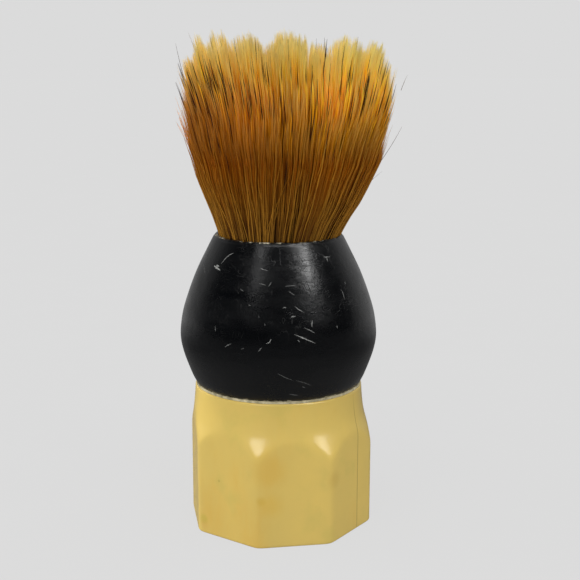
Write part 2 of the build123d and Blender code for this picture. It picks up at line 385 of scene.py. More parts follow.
# height, radius
belly = spline([
    (COLLAR_BASE, 17.25), (31.5, 17.97), (33, 18.6), (35, 19.35), (37.5, 20.12),
    (40, 20.5), (42.5, 20.35), (45, 19.93), (48, 19.06), (51, 18.0), (54, 16.78),
    (57, 15.32), (59.5, 14.06), (COLLAR_TOP, LIP_R),
])


def edge_wear(angles):
    """How far an edge is worn down at each angle: 46 random nicks, no deeper than 0.25."""
    wear = np.zeros_like(angles)
    for _ in range(46):
        centre = rng.uniform(0, 2 * math.pi)
        width = rng.uniform(0.012, 0.05)
        depth = rng.uniform(0.02, 0.16)
        wear += depth * bell(np.angle(np.exp(1j * (angles - centre))), 0, width)
    return np.minimum(wear, 0.25)


def build_collar():
    angles = np.arange(448) * 2 * math.pi / 448
    wear = edge_wear(angles)
    base_wear = edge_wear(angles + 1.7)
    # each ring is (radius, height); the first three make the hollow underside
    rings = [(7.4, 30.9), (7.4, COLLAR_BASE), (16.4, COLLAR_BASE)]
    for z in (*np.linspace(COLLAR_BASE, 33, 8), *np.linspace(33.4, 60.6, 96)):
        near_base = np.clip(1 - (z - COLLAR_BASE) / 0.5, 0, 1)
        rings.append((belly(z) - 0.5 * base_wear * near_base, z))
    lip_z = COLLAR_TOP - LIP_ROUND
    for q in np.linspace(0, 1, 6):  # outer edge of the lip
        turn = q * math.pi / 2
        r = LIP_R - LIP_ROUND * (1 - math.cos(turn)) + 0.02 * (1 - q) - 0.2 * wear
        rings.append((r, lip_z + LIP_ROUND * math.sin(turn) - wear * (0.4 + 0.6 * q)))
    for q in np.linspace(0.15, 1, 5):  # inner edge of the lip
        turn = q * math.pi / 2
        z = lip_z + LIP_ROUND * math.cos(turn) - wear * 0.7 * (1 - 0.6 * q)
        rings.append((BORE_R + LIP_ROUND - LIP_ROUND * math.sin(turn), z))
    rings += [(BORE_R, 60.0), (BORE_R, 57.0), (BORE_R, 54.05)]
    return ring_mesh("collar_skin", np.array([ring(angles, r, z) for r, z in rings]))


def collar_point(across, up):
    """Where a sheet point's sight line meets the collar, in mm, and the normal there."""

    def inside(r, _, z):
        return (r < belly(z)) & (z > COLLAR_BASE) & (z < 61.1)

    hit = sight_hit(across, up, near=180, far=CAM_DIST, samples=6000, inside=inside)
    slope = (belly(hit[2] + 0.05) - belly(hit[2] - 0.05)) / 0.1
    outward = np.array([hit[0], hit[1], 0]) / math.hypot(hit[0], hit[1])
    normal = outward - np.array([0, 0, slope])
    return hit, normal / np.linalg.norm(normal)


foot_skin = build_foot()
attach(foot_skin, "foot")
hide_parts("foot")
collar_skin = build_collar()
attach(collar_skin, "collar")
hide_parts("collar")

# ---------------------------------------------------------------- tuft outline (mm)
# height, radius, lean to the right
TUFT_Z, TUFT_R, TUFT_LEAN = np.array([
    (55, 11.6, 0), (59, 12.0, 0.1), (61.15, 12.3, 0.3), (62.2, 12.9, 0.4),
    (63.9, 13.6, 0.5), (65.5, 14.4, 0.8), (67.2, 15.3, 1.0), (68.8, 16.1, 1.1),
    (70.5, 16.8, 1.2), (72.1, 17.5, 1.2), (73.8, 18.2, 1.4), (75.4, 18.8, 1.6),
    (77, 19.3, 1.6), (80.3, 19.9, 1.6), (85.1, 20.5, 1.9), (89.9, 20.6, 1.8),
    (94, 20.4, 1.5), (98, 20.1, 1.4), (102, 19.9, 1.3),
]).T
# the ragged top from left to right: across, height
TOP_X, TOP_Z = np.array([
    (-21, 95.5), (-18.5, 96.2), (-16.9, 97.6), (-16.0, 101.2), (-14.3, 98.7),
    (-12.5, 101.3), (-10.9, 101.0), (-9.5, 98.6), (-8.6, 100.9), (-7.0, 100.2),
    (-5.9, 101.2), (-4.4, 99.9), (-2.9, 98.0), (-1.5, 99.9), (-0.5, 101.1),
    (2.2, 101.4), (4.2, 99.9), (6.1, 98.6), (7.4, 98.8), (9.0, 98.4),
    (10.4, 99.4), (12.2, 100.3), (14.0, 100.6), (15.7, 98.2), (17.2, 99.4),
    (19.0, 98.7), (20.4, 97.9), (21.4, 97.2), (22.6, 93.0),
]).T
CUT_LOW, CUT_HIGH = 67.5, 76.0  # where the tuft is parted into low, middle and upper meshes
FAN_START, FAN_SLOPE = 75.4, 0.335  # above this the outermost hairs run on straight
TOP_FAN_R = 26.0  # fan radius by which hairs are placed under the ragged top
LOCK_FAN_R = 24.0  # fan radius by which spread within a lock is measured


def tuft_radius(z):
    return np.interp(z, TUFT_Z, TUFT_R)


def fan_radius(z):
    """Radius that the outermost hairs would reach: they run on straight past the outline."""
    fan = tuft_radius(FAN_START) + FAN_SLOPE * (z - FAN_START)
    return np.where(z < FAN_START, tuft_radius(z), fan)


LIMIT_Z = np.linspace(74.0, 104.0, 61)
LIMIT_SHARE = tuft_radius(LIMIT_Z) / fan_radius(LIMIT_Z)


def height_limit(share):
    """Height at which a hair of this share would leave the tuft's outline."""
    return np.interp(-share, -LIMIT_SHARE, LIMIT_Z)


def share_at(z):
    """Share of the fan radius that just meets the outline at a height."""
    return np.interp(z, LIMIT_Z, LIMIT_SHARE)


# ---------------------------------------------------------------- hairs (mm)
PLAIN, DARK, PALE = range(3)


class Strands:
    """Many hairs of one kind, each a path over height from its share of the fan radius."""

    def __init__(self, share, angle, tip, thick, kind):
        count = len(share)
        self.count, self.kind = count, kind
        self.share, self.angle, self.tip, self.thick = share, angle, tip, thick
        self.rnd = rng.random(count)
        self.tone = rng.random(count)
        self.turn = rng.normal(0, 0.045, count)
        self.out = rng.normal(0, 0.012, count)
        self.wave = rng.uniform(0, 2 * math.pi, count)
        self.wave_size = rng.gamma(2.0, 0.03, count)
        self.roll = rng.uniform(0, 2 * math.pi, count)
        # pull towards the centres of a big and a small lock, where there are any
        self.pull = [np.zeros(count), np.zeros(count)]
        self.home = [None, None]
        self.shade = np.ones(count)

    def pick(self, mask):
        """The hairs chosen by a mask."""
        new = copy.copy(self)
        new.count = int(mask.sum())
        for key in "share angle tip thick rnd tone turn out wave wave_size roll shade".split():
            setattr(new, key, getattr(self, key)[mask])
        new.pull = [pull[mask] for pull in self.pull]
        new.home = [h if h is None else (h[0][mask], h[1][mask]) for h in self.home]
        return new

    def plan(self, share, angle, z):
        """Place in plan of a share of the fan radius at an angle and height."""
        r = share * fan_radius(z)
        lean = np.interp(z, TUFT_Z, TUFT_LEAN)
        return np.stack(
            [r * np.cos(angle) + lean * RIGHT[0], r * np.sin(angle) + lean * RIGHT[1]], -1
        )

    def at(self, z):
        """Points of all strands at heights z, shape (count, rings)."""
        rise = (z - 61.0) / 40.0
        risen = np.maximum(rise, 0)
        angle = self.angle[:, None] + self.turn[:, None] * risen
        share = self.share[:, None] + self.out[:, None] * risen * 1.5
        place = self.plan(share, angle, z)
        # the rise over which each size of lock gathers its hairs
        for pull, home, (start, full) in zip(self.pull, self.home, ((0.05, 0.95), (0.30, 1.0))):
            if home is None:
                continue
            goal = self.plan(home[0][:, None], home[1][:, None], z)
            weight = pull[:, None] * smoothstep(rise, start, full)
            place = place + (goal - place) * weight[..., None]
        wobble = self.wave_size[:, None] * risen
        place[..., 0] += wobble * np.sin(risen * 0 + rise * 6 + self.wave[:, None])
        place[..., 1] += wobble * np.sin(rise * 5 + self.wave[:, None] * 1.7)
        return np.concatenate([place, z[..., None]], -1)


def lock_centres(count):
    """Evenly scattered lock centres on the disc, as share and angle."""
    golden_angle = 2.399963
    i = np.arange(count) + 0.5
    share = np.sqrt(i / count) * 0.985
    angle = i * golden_angle + rng.normal(0, 0.04, count)
    return np.clip(share + rng.normal(0, 0.02, count), 0.02, 1.0), angle


def nearest(share, angle, lock_share, lock_angle):
    """Index of the nearest lock centre for each hair, worked out in batches."""
    x, y = share * np.cos(angle), share * np.sin(angle)
    lock_x, lock_y = lock_share * np.cos(lock_angle), lock_share * np.sin(lock_angle)
    best = np.empty(len(x), int)
    for i in range(0, len(x), 2000):
        batch = slice(i, i + 2000)
        gap = (x[batch, None] - lock_x) ** 2 + (y[batch, None] - lock_y) ** 2
        best[batch] = gap.argmin(1)
    return best


def outline_height(share, angle, lock_share, lock_angle):
    """Height of the ragged top at hairs, partly at their lock's centre, and depth behind."""

    def along(axis, share, angle):
        return share * TOP_FAN_R * (np.cos(angle) * axis[0] + np.sin(angle) * axis[1])

    x = along(RIGHT, share, angle)
    lock_x = along(RIGHT, lock_share, lock_angle)
    depth = -along(TO_CAM, share, angle)
    seen = np.interp(0.5 * x + 0.5 * lock_x + 0.8, TOP_X, TOP_Z) + 2.5
    return CAM_HEIGHT + (seen - CAM_HEIGHT) * (CAM_DIST + depth) / CAM_DIST, depth


def from_lock(share, angle, lock_share, lock_angle):
    """Distance of hairs from their lock's centre at the top of the tuft."""
    x = share * np.cos(angle) - lock_share * np.cos(lock_angle)
    y = share * np.sin(angle) - lock_share * np.sin(lock_angle)
    return LOCK_FAN_R * np.hypot(x, y)


def main_hairs():
    inner, outer = 4200, 9200
    share = np.concatenate(
        [np.sqrt(rng.random(inner)) * 0.74, rng.uniform(0.68, 1.0, outer)]
    )
    share = np.clip(share, 0.01, 0.995)
    count = len(share)
    angle = rng.uniform(0, 2 * math.pi, count)
    big_locks, small_locks = lock_centres(86), lock_centres(520)
    big = nearest(share, angle, *big_locks)
    small = nearest(share, angle, *small_locks)
    big_home = (big_locks[0][big], big_locks[1][big])
    small_home = (small_locks[0][small], small_locks[1][small])

    # tips reach the ragged outline in the middle depths and drop away lock by lock elsewhere
    seen, depth = outline_height(share, angle, *small_home)
    big_drop = rng.gamma(1.6, 0.8, len(big_locks[0]))[big]
    small_drop = rng.gamma(1.4, 0.7, len(small_locks[0]))[small]
    tip = seen - (big_drop + small_drop) * (1 - 0.85 * bell(depth, 0, 8.0))
    # the hairs round the edge of a lock are shorter, so that it ends in a point
    tip -= 0.50 * from_lock(share, angle, *big_home) ** 1.2
    tip -= 0.95 * from_lock(share, angle, *small_home) ** 1.3
    tip -= rng.exponential(0.35, count)
    limit = height_limit(share) + rng.normal(0, 1.1, len(small_locks[0]))[small]
    limit += 0.9 + rng.normal(0, 0.5, count) - rng.exponential(0.9, count)
    tip = np.maximum(np.minimum(tip, limit), 76.8 + 2 * rng.random(count))
    hairs = Strands(share, angle, tip, rng.uniform(0.056, 0.088, count), PLAIN)
    hairs.home = [big_home, small_home]
    hairs.pull = [0.16 + 0.14 * rng.random(count), 0.40 + 0.45 * rng.random(count)]
    small_tone = rng.normal(0, 0.045, len(small_locks[0]))[small]
    hairs.shade *= np.exp(small_tone + rng.normal(0, 0.08, len(big_locks[0]))[big])
    return hairs


def dark_hairs():
    """Dark-tipped hairs: 320 come out through the sides, the rest stand up through the top."""
    count, outside = 380, 320
    front = math.atan2(TO_CAM[1], TO_CAM[0])
    angle = rng.uniform(0, 2 * math.pi, count)
    # most of those at the left and right, square to the view, are turned on
    sideways = np.abs(np.cos(angle - front)) < 0.34
    angle = np.where(sideways & (rng.random(count) < 0.7), angle + 0.9, angle)
    tip = 98.5 - rng.exponential(5.5, count) - 2.5 * rng.random(count)
    share = share_at(tip - rng.uniform(2.5, 7.0, count))
    share[outside:] = 0.76 * np.sqrt(rng.random(count - outside))
    tip[outside:] = 101.0
    seen, _ = outline_height(share, angle, share, angle)
    below = np.where(rng.random(count) < 0.05, 0.8, 2.2 + 4.5 * rng.random(count))
    tip = np.clip(np.minimum(tip, seen - below), 78, 101)
    hairs = Strands(share, angle, tip, rng.uniform(0.090, 0.135, count), DARK)
    hairs.turn = rng.normal(0, 0.06, count)
    hairs.out *= 0.3
    hairs.wave_size *= 0.4
    return hairs


def pale_hairs():
    """Pale hairs lying over the outside, the first 280 of them short and more turned."""
    count, short = 820, 280
    tip = 69 + 28 * rng.random(count)
    tip[:short] = rng.uniform(66.5, 84, short)
    angle = rng.uniform(0, 2 * math.pi, count)
    share = share_at(tip - rng.uniform(0.5, 5.0, count))
    share += rng.uniform(0.0, 0.012, count)
    hairs = Strands(share, angle, tip, rng.uniform(0.06, 0.085, count), PALE)
    hairs.turn = rng.normal(0, 0.06, count)
    hairs.turn[:short] *= 4.5
    hairs.out = np.abs(rng.normal(0, 0.005, count))
    hairs.wave_size *= 0.5
    return hairs


def patch(hairs, z):
    """Painted light and shade over the tuft, by degrees to the right of the camera's side."""
    rel = (hairs.angle - math.atan2(TO_CAM[1], TO_CAM[0])) % (2 * math.pi)
    rel = np.degrees(np.where(rel > math.pi, rel - 2 * math.pi, rel))[:, None]
    # painted shade: a deep shadowed streak left of centre and two shadowed partings between locks
    # low down
    tone = 1 - 0.16 * bell(rel, -8, 17) * bell(z, 80, 8.5)
    tone *= 1 - 0.60 * bell(rel, -5, 1.6) * (1 - smoothstep(z, 68, 80))
    tone *= 1 - 0.65 * bell(rel, 10, 1.9) * (1 - smoothstep(z, 66, 78))
    # painted light on the right, painted shade on the left
    right = smoothstep(rel, 0, 30) * smoothstep(180 - rel, 0, 60)
    left = smoothstep(-rel, 12, 45) * smoothstep(180 + rel, 0, 60)
    tone *= 1 + 0.18 * right * bell(z, 89, 8)
    tone *= 1 - 0.32 * left * bell(z, 86, 9)
    return tone


def piece(hairs, z):
    """Points, radii, roll and attributes of hairs over heights z."""
    z = np.broadcast_to(z, (hairs.count, z.shape[-1]))
    to_tip = hairs.tip[:, None] - z
    taper = np.clip(to_tip / (5.0 if hairs.kind == DARK else 9.0), 0, 1)
    radius = hairs.thick[:, None] * (0.14 + 0.86 * taper**0.6)
    one = np.ones(hairs.count)
    data = {
        "hair_high": np.clip((z - 60) / 40, 0, 1),
        "hair_along": np.clip(1 - to_tip / 24, 0, 1),
        "hair_rnd": hairs.rnd,
        "hair_tone": hairs.tone,
        "hair_dark": one * (hairs.kind == DARK),
        "hair_pale": one * (hairs.kind == PALE),
        # random lock tone times the painted light and shade over the tuft
        "hair_shade": hairs.shade[:, None] * patch(hairs, z),
    }
    return hairs.at(z), radius, hairs.roll, data


# loose hairs: sheet points from root to tip, depth behind the sheet, radius, darkness
STRAYS = [
    ([(-18.04, 89.08), (-19.08, 93.04), (-19.83, 95.80), (-20.57, 99.52)], 0, 0.075, 1.0),
    ([(-14.78, 91.46), (-15.92, 95.80), (-17.18, 99.13), (-17.94, 101.47)], 3, 0.060, 0.8),
    ([(-17.91, 84.69), (-18.87, 87.49), (-19.55, 89.08)], 0, 0.070, 0.9),
    ([(-16.79, 77.84), (-18.16, 81.68), (-19.71, 85.69), (-20.77, 88.88)], 0, 0.075, 0.25),
    ([(-16.41, 76.22), (-17.98, 79.86), (-19.64, 83.89), (-20.71, 86.69)], 0, 0.085, 0.1),
    ([(-16.22, 75.40), (-17.80, 78.85), (-19.38, 81.68), (-20.85, 84.09)], 2, 0.080, 0.0),
    ([(-16.61, 76.62), (-18.18, 80.07), (-19.94, 84.29)], -3, 0.085, 0.1),
    ([(-15.83, 74.18), (-17.61, 77.84), (-19.58, 81.48), (-20.56, 83.49)], -2, 0.085, 0.15),
    ([(-16.22, 75.20), (-17.40, 78.25), (-18.58, 80.67)], 4, 0.080, 0.1),
    ([(-16.02, 74.59), (-17.80, 78.45), (-19.36, 82.49), (-20.32, 85.89)], -4, 0.095, 0.0),
    ([(-16.21, 75.81), (-17.59, 79.06), (-19.15, 82.89), (-20.02, 85.69)], -5, 0.095, 0.1),
    ([(-15.83, 74.18), (-17.40, 77.84), (-19.17, 81.88), (-20.13, 84.69)], 3, 0.095, 0.0),
    ([(-16.41, 76.22), (-17.59, 79.26), (-18.95, 82.69)], -6, 0.100, 0.0),
    ([(-17.19, 78.25), (-18.55, 82.28), (-19.50, 86.29)], -4, 0.095, 0.2),
    ([(18.55, 72.54), (21.34, 76.62), (23.51, 80.07), (25.07, 82.99)], 0, 0.070, 0.9),
    ([(24.71, 90.18), (25.28, 91.76), (25.95, 93.24)], 0, 0.055, 0.9),
    ([(21.23, 82.69), (22.16, 86.69), (22.79, 90.67)], 0, 0.080, 0.9),
    ([(19.81, 82.28), (21.15, 86.69), (22.27, 91.46)], -4, 0.080, 0.2),
]
LOW_STRAYS = [
    ([(-14.68, 68.02), (-15.67, 70.49), (-16.75, 73.57), (-17.74, 75.81)], 0, 0.080, 0.1),
    ([(-14.28, 66.99), (-15.48, 69.67), (-16.67, 72.54)], -3, 0.085, 0.1),
    ([(16.35, 68.85), (17.96, 70.90), (19.57, 72.54), (21.29, 73.97)], 0, 0.070, 0.85),
    ([(15.15, 66.58), (16.96, 69.67), (18.16, 71.52)], 2, 0.080, 0.2),
    ([(15.76, 67.40), (17.56, 70.49), (18.95, 72.95)], -2, 0.080, 0.1),
]


def loose(items, rings):
    """Loose hairs as a piece: a parabola fitted to each path."""
    along = np.linspace(0, 1, rings)
    points, radii, dark = [], [], []
    for path, depth, thick, darkness in items:
        fit = np.polyfit(np.linspace(0, 1, len(path)), path, 2)
        across, up = (np.polyval(column, along) for column in fit.T)
        points.append([at_depth(a, b, depth) for a, b in zip(across, up)])
        radii.append(thick * (1 - 0.75 * along**2))
        dark.append(darkness)
    points, radii, dark = np.array(points), np.array(radii), np.array(dark)
    half = np.full(len(items), 0.5)
    is_dark = dark[:, None] > 0.5
    data = {
        "hair_high": np.clip((points[..., 2] - 60) / 40, 0, 1),
        "hair_along": np.where(
            is_dark, np.linspace(0.9, 1, rings), np.linspace(0.5, 1, rings)
        ),
        "hair_rnd": half,
        "hair_tone": half,
        "hair_dark": dark,
        "hair_pale": 1 - dark,
        "hair_shade": np.where(dark[:, None] < 0.5, 1.6, 1.0) * np.ones((1, rings)),
    }
    return points, radii, np.zeros(len(items)), data


def tubes(name, pieces):
    """One mesh of three-sided hairs from pieces with equal ring counts."""
    points, radius, roll = (np.concatenate([p[i] for p in pieces]) for i in range(3))
    count, rings = radius.shape
    side = roll[:, None] + np.arange(3)[None] * 2 * math.pi / 3
    outward = np.stack([np.cos(side), np.sin(side), np.zeros_like(side)], -1)
    verts = points[:, :, None, :] + outward[:, None] * radius[:, :, None, None]
    row = (np.arange(count) * rings * 3)[:, None, None]
    row = row + (np.arange(rings - 1) * 3)[None, :, None]
    j = np.arange(3)[None, None, :]
    here, after = row + j, row + (j + 1) % 3
    faces = np.stack([here, after, after + 3, here + 3], -1).reshape(-1, 4)
    obj = new_mesh(name, verts.reshape(-1, 3), faces)
    mesh = obj.data
    for key in pieces[0][3]:
        columns = []
        for _, part_radius, _, data in pieces:
            value = data[key] if data[key].ndim == 2 else data[key][:, None]
            columns.append(np.broadcast_to(value, part_radius.shape))
        values = np.repeat(np.concatenate(columns).ravel(), 3).astype(np.float32)
        mesh.attributes.new(key, "FLOAT", "POINT").data.foreach_set("value", values)

    # each hair has its own cell of the UV map, with a small margin
    bands = max(1, round(math.sqrt(count / 70)))
    columns = math.ceil(count / bands)
    i = np.arange(count)[:, None, None, None]
    around = np.array([[0, 1, 1, 0]]) + np.arange(3)[:, None]
    along = np.array([[0, 0, 1, 1]]) + np.arange(rings - 1)[:, None]
    u = (i % columns) / columns + (0.08 + 0.84 * around / 3) / columns
    v = (i // columns) / bands + (0.04 + 0.92 * along[:, None, :] / (rings - 1)) / bands
    corners = np.stack(np.broadcast_arrays(u, v), -1).astype(np.float32)
    mesh.uv_layers.new(name="OFBake").data.foreach_set("uv", corners.ravel())
    return obj


# ring heights of the low and middle meshes, and ring places from cut to tip of the upper ones
LOW_RINGS = np.array([56.5, 60.5, 62.4, 64.8, CUT_LOW])
MID_RINGS = np.array([CUT_LOW, 70.3, 73.2, CUT_HIGH])
UPPER_RINGS = np.array([0, 0.2, 0.4, 0.58, 0.74, 0.88, 1.0])
CORE = 8  # index of the upper core, after the eight bundles round it
CORE_R = 7.0


def build_middle():
    pieces = [loose(LOW_STRAYS, len(MID_RINGS))]
    for hairs in hair_sets:
        hairs = hairs.pick(hairs.share > 0.5)
        top = np.minimum(hairs.tip, CUT_HIGH)[:, None]
        up = ((MID_RINGS - CUT_LOW) / (CUT_HIGH - CUT_LOW))[None]
        pieces.append(piece(hairs, CUT_LOW + (top - CUT_LOW) * up))
    return tubes("tuft_mid", pieces)


def build_upper():
    """Eight bundles, one for each eighth of a turn, and the core, by place at a height of 78."""
    pieces = [[] for _ in range(9)]
    for hairs in hair_sets:
        hairs = hairs.pick(hairs.tip > CUT_HIGH + 0.5)
        x, y, _ = hairs.at(np.full((hairs.count, 1), 78.0))[:, 0].T
        eighth = np.round(np.arctan2(y, x) / (math.pi / 4)).astype(int) % 8
        which = np.where(np.hypot(x, y) < CORE_R, CORE, eighth)
        for i in range(9):
            mask = which == i
            if not mask.any():
                continue
            part = hairs.pick(mask)
            heights = CUT_HIGH + (part.tip[:, None] - CUT_HIGH) * UPPER_RINGS[None]
            pieces[i].append(piece(part, heights))
    for stray in STRAYS:
        root = at_depth(*stray[0][0], stray[1])
        which = round(math.atan2(root[1], root[0]) / (math.pi / 4)) % 8
        pieces[which].append(loose([stray], len(UPPER_RINGS)))
    names = [*[f"tuft_bundle_{i}" for i in range(1, 9)], "tuft_core"]
    return [tubes(name, parts) for name, parts in zip(names, pieces)]


hair_sets = [main_hairs(), dark_hairs(), pale_hairs()]
tuft_low = tubes(
    "tuft_low", [piece(hairs.pick(hairs.share > 0.68), LOW_RINGS) for hairs in hair_sets]
)
tuft_mid = build_middle()
tuft_up = build_upper()

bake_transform(tuft_low)
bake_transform(tuft_mid)
for i in range(8):
    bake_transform(tuft_up[i])
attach(tuft_up[CORE], "tuft_core")
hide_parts("hair_set", "hair_root")
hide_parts("hair_root")
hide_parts("hair_core")
for i in range(8):
    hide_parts(f"hair_bundle_{i + 1}")


# ---------------------------------------------------------------- hair material
def hair_paint():
    mat = Paint("hair")
    high = mat.attribute("hair_high")
    along = mat.attribute("hair_along")
    rnd = mat.attribute("hair_rnd")
    tone = mat.attribute("hair_tone")
    # brown at the root, its own colour darkened further as painted shade among the packed roots,
    # through amber, to straw yellow at the top
    base = mat.ramp(
        high,
        [
            (0.0, srgb(78, 50, 22)),
            (0.06, srgb(106, 65, 26)),
            (0.20, srgb(150, 92, 23)),
            (0.42, srgb(178, 98, 8)),
            (0.64, srgb(236, 160, 22)),
            (0.84, srgb(252, 208, 62)),
            (1.0, srgb(250, 226, 116)),
        ],
    )
    # some hairs redder, some blonder, and the pale ones sandy
    red = mat.tint(base, srgb(206, 176, 150))
    blond = mat.mix(0.4, base, srgb(234, 168, 52))
    color = mat.mix(mat.remap(tone, span=(0.0, 0.4), to=(0.40, 0.0)), base, red)
    color = mat.mix(mat.remap(tone, span=(0.7, 1.0), to=(0.0, 0.7)), color, blond)
    sandy = mat.times(
        mat.attribute("hair_pale"), mat.remap(rnd, span=(0, 1), to=(0.15, 0.7))
    )
    color = mat.mix(sandy, color, srgb(204, 146, 50))
    # redder on the left, yellower on the right
    x, y, _ = mat.axes(mat.coords())
    across = mat.add(mat.times(x, float(RIGHT[0])), mat.times(y, float(RIGHT[1])))
    warm = mat.mix(
        mat.remap(high, span=(0.66, 0.90), smooth=True),
        srgb(255, 233, 222),
        srgb(252, 250, 226),
    )
    to_right = mat.remap(across, span=(-0.013, 0.016), smooth=True)
    side_tint = mat.mix(to_right, warm, srgb(240, 255, 238))
    upper = mat.remap(high, span=(0.30, 0.60), smooth=True)
    color = mat.mix(upper, color, mat.tint(color, side_tint))
    # bleached ends
    ends = mat.times(
        mat.remap(along, span=(0.76, 1.0), to=(0.0, 0.62), smooth=True),
        mat.remap(high, span=(0.4, 0.95)),
    )
    color = mat.mix(ends, color, srgb(202, 186, 132))
    # brightness: from hair to hair and by lock, with painted light and shade over the tuft, and a
    # painted brightening towards the top that stands in for light shining through the upper hairs
    gain = mat.times(mat.add(mat.times(rnd, 0.32), 0.80), mat.attribute("hair_shade"))
    gain = mat.add(gain, mat.remap(high, span=(0.46, 0.74), to=(0.0, 0.34)))
    color = mat.tint(color, mat.remap(gain, span=(0, 2), to=(0, 2)))
    # dark tips
    over = mat.math("SUBTRACT", along, mat.remap(rnd, span=(0, 1), to=(0.60, 0.84)))
    blackness = mat.times(
        mat.remap(over, span=(0.0, 0.10), to=(0, 0.97), smooth=True),
        mat.attribute("hair_dark"),
    )
    color = mat.mix(blackness, color, srgb(52, 24, 13))
    fine = mat.noise(mat.scaled(mat.coords(), (1, 1, 0.2)), scale=5200, detail=2)
    rough = mat.remap(fine, to=(0.38, 0.58))
    mat.set(Base_Color=color, Roughness=rough, Specular_IOR_Level=0.06)
    mat.set(Normal=mat.bump(fine, strength=0.3, distance=0.00002))
    return mat


# ---------------------------------------------------------------- collar material
# families of hair-fine scratches: stretch in x, y, z, noise scale, offset
SCRATCH_NOISES = (
    ((1.0, 1.0, 5.5), 240, 3.1),
    ((4.0, 4.0, 1.0), 150, 7.7),
    ((2.2, 0.8, 3.0), 330, 12.9),
)


def scratch_lines(mat, coords):
    """Thin lines where stretched noise crosses its middle value, let through in patches."""
    lines = None
    for k, (stretch, scale, off) in enumerate(SCRATCH_NOISES):
        moved = mat.scaled(coords, stretch, (off, off * 1.3, off * 0.7))
        noise = mat.noise(moved, scale=scale, detail=1.5)
        from_middle = mat.math("ABSOLUTE", mat.math("SUBTRACT", noise, 0.5))
        line = mat.remap(from_middle, span=(0, 0.012), to=(1, 0))
        patches = mat.noise(coords, scale=130 + 60 * k, detail=1.0)
        line = mat.times(line, mat.remap(patches, span=(0.52, 0.68), smooth=True))
        lines = line if lines is None else mat.math("MAXIMUM", lines, line)
    return lines


def black_paint():
    mat = Paint("black_lacquer")
    coords = mat.coords()
    z = mat.axes(coords)[2]
    # soft smears, stretched round the collar
    smear = mat.noise(mat.scaled(coords, (1, 1, 3.0)), scale=95, detail=5, rough=0.62)
    fine = mat.noise(mat.scaled(coords, (0.6, 0.6, 4.0)), scale=900, detail=4, rough=0.7)
    grit = mat.noise(coords, scale=2600, detail=2, rough=0.6)
    lines = scratch_lines(mat, coords)
    upper = mat.remap(z, span=(0.036, 0.056), to=(0.25, 1.0), smooth=True)
    lines = mat.times(lines, upper)
    base = mat.mix(mat.remap(smear, span=(0.35, 0.7)), srgb(4, 5, 7), srgb(11, 12, 14))
    base = mat.mix(mat.times(lines, 0.09), base, srgb(112, 112, 108))
    # the mouth and the bottom edge are rubbed through to the pale body
    rim = mat.remap(z, span=(0.06055, 0.06118), smooth=True)
    bottom = mat.remap(z, span=(0.03075, 0.03020), smooth=True)
    wear = mat.add(mat.times(rim, 0.28), mat.times(bottom, 0.36))
    spots = mat.noise(coords, scale=780, detail=4, rough=0.7)
    worn = mat.remap(mat.add(wear, spots), span=(0.80, 0.86), smooth=True)
    base = mat.mix(worn, base, srgb(178, 172, 148))
    rough = mat.remap(smear, to=(0.22, 0.34))
    rough = mat.add(rough, mat.times(lines, 0.3))
    rough = mat.add(rough, mat.times(worn, 0.4))
    height = mat.add(mat.times(fine, 0.5), mat.times(grit, 0.35))
    height = mat.math("SUBTRACT", height, mat.times(lines, 0.5))
    grain = mat.bump(height, strength=0.5, distance=0.00005)
    wide = mat.noise(coords, scale=420, detail=3, rough=0.6)
    normal = mat.bump(wide, strength=0.35, distance=0.0002, normal=grain)
    mat.set(Base_Color=base, Roughness=rough, Specular_IOR_Level=0.5, Normal=normal)
    return mat


# ---------------------------------------------------------------- foot material
SEAM_AT = (17.09982, 9.43520)  # sheet point, mm, of the witness line
# age spots: sheet point in mm, size in metres, colour, strength
STAINS = [
    ((-3.78467, 2.08851), 0.0014, srgb(200, 162, 62), 0.42),
    ((-16.23578, -1.85130), 0.0014, srgb(180, 164, 56), 0.42),
    ((-16.03302, -3.01499), 0.0014, srgb(206, 160, 80), 0.25),
    ((-12.86812, 6.91993), 0.0005, srgb(160, 138, 62), 0.5),
    ((-2.24913, 8.97866), 0.0048, srgb(214, 172, 74), 0.42),
    ((-1.82849, 1.16382), 0.0036, srgb(214, 172, 68), 0.36),
    ((12.25920, 7.14903), 0.0026, srgb(200, 164, 78), 0.4),
]


